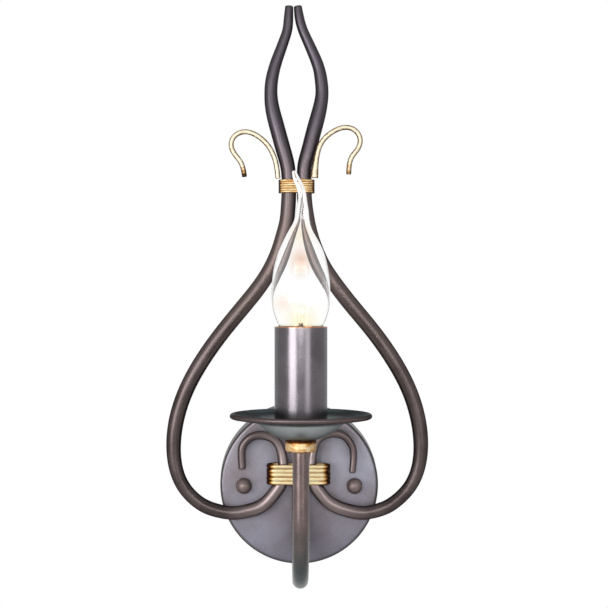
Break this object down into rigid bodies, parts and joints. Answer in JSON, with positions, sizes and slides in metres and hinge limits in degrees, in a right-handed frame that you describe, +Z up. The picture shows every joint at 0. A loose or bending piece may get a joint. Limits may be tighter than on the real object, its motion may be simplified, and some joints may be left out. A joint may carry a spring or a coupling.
{
  "type": "wall lamp",
  "caption": "Forged wall lamp with two scrolled rods on a round canopy, a U-shaped arm and one candle bulb over a drip pan.",
  "frame": {"origin": "centre of the canopy on the wall plane, midway between the wall screws", "axes": "+X to the right, -Y from the wall towards the room, +Z up"},
  "size_m": [0.1744, 0.1666, 0.3775],
  "materials": {
    "bronze_paint": "satin dark bronze paint",
    "pan_paint": "satin grey-brown paint",
    "sleeve_paint": "glossy dark bronze paint",
    "gilding": "gold paint rubbed over steel",
    "zinc_steel": "zinc plated",
    "tinned_brass": "tinned",
    "brass": "plain",
    "nickelled_brass": "nickel plated",
    "nickel_wire": "drawn",
    "tungsten": "drawn",
    "block_plastic": "moulded",
    "holder_plastic": "moulded",
    "black_glass": "vitrified",
    "clear_glass": "clear",
    "brown_sheath": "extruded",
    "blue_sheath": "extruded",
    "green_yellow_sheath": "extruded"
  },
  "bodies": {
    "fixture": {"backplate": "bronze_paint", "left_scroll_rod": "bronze_paint", "right_scroll_rod": "bronze_paint", "arm_tube": "bronze_paint", "nipple_spacer": "bronze_paint", "left_gold_hook": "gilding", "right_gold_hook": "gilding", "upper_binding": "gilding", "lower_binding": "gilding", "gold_collar": "gilding", "drip_pan": "pan_paint", "wall_bracket": "zinc_steel", "bracket_studs": "zinc_steel", "stud_lock_nuts": "zinc_steel", "earth_screw": "zinc_steel", "terminal_screws": "zinc_steel", "block_screw": "zinc_steel", "arm_nipple": "zinc_steel", "nipple_washer": "zinc_steel", "nipple_nut": "zinc_steel", "earth_tag": "tinned_brass", "terminal_inserts": "brass", "socket_shell": "brass", "centre_contact": "brass", "terminal_block": "block_plastic", "lampholder_body": "holder_plastic", "live_wire": "brown_sheath", "neutral_wire": "blue_sheath", "earth_wire": "green_yellow_sheath"},
    "bulb": {"bulb_glass": "clear_glass", "bulb_cap": "nickelled_brass", "cap_insulator": "black_glass", "cap_contact": "nickelled_brass", "bulb_stem": "clear_glass", "filament_leads": "nickel_wire", "filament": "tungsten"},
    "sleeve": {"candle_sleeve": "sleeve_paint"},
    "left_knob": {"left_knob": "bronze_paint"},
    "right_knob": {"right_knob": "bronze_paint"}
  },
  "joints": [
    {"name": "bulb_unscrew", "type": "slide", "parent": "fixture", "child": "bulb", "axis": [0, 0, 1], "range_m": [0, 0.06]},
    {"name": "sleeve_lift", "type": "slide", "parent": "fixture", "child": "sleeve", "axis": [0, 0, 1], "range_m": [0, 0.0015]},
    {"name": "left_knob_unscrew", "type": "slide", "parent": "fixture", "child": "left_knob", "axis": [0, -1, 0], "range_m": [0, 0.01]},
    {"name": "right_knob_unscrew", "type": "slide", "parent": "fixture", "child": "right_knob", "axis": [0, -1, 0], "range_m": [0, 0.01]}
  ]
}
